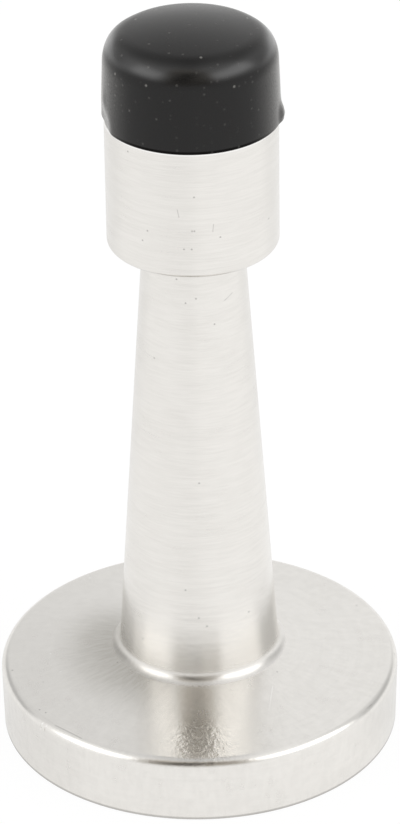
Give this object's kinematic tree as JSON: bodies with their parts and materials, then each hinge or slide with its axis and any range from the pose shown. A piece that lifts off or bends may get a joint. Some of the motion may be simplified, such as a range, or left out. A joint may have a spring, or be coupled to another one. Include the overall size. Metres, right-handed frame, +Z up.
{
  "type": "floor door stop",
  "caption": "Floor door stop: a round weighted base, a slim tapered stem and a cylindrical head capped with a domed black rubber tip.",
  "frame": {"origin": "centre of the flat underside of the base, at floor level", "axes": "+Z up the stem, the axis that everything is turned about; X and Y are equal by symmetry"},
  "size_m": [0.042, 0.042, 0.08],
  "materials": {
    "satin_nickel": "satin nickel plate, brushed round the axis",
    "black_rubber": "semi-matt moulded black rubber"
  },
  "bodies": {
    "root": {"body": "satin_nickel", "rubber_tip": "black_rubber"}
  },
  "joints": []
}
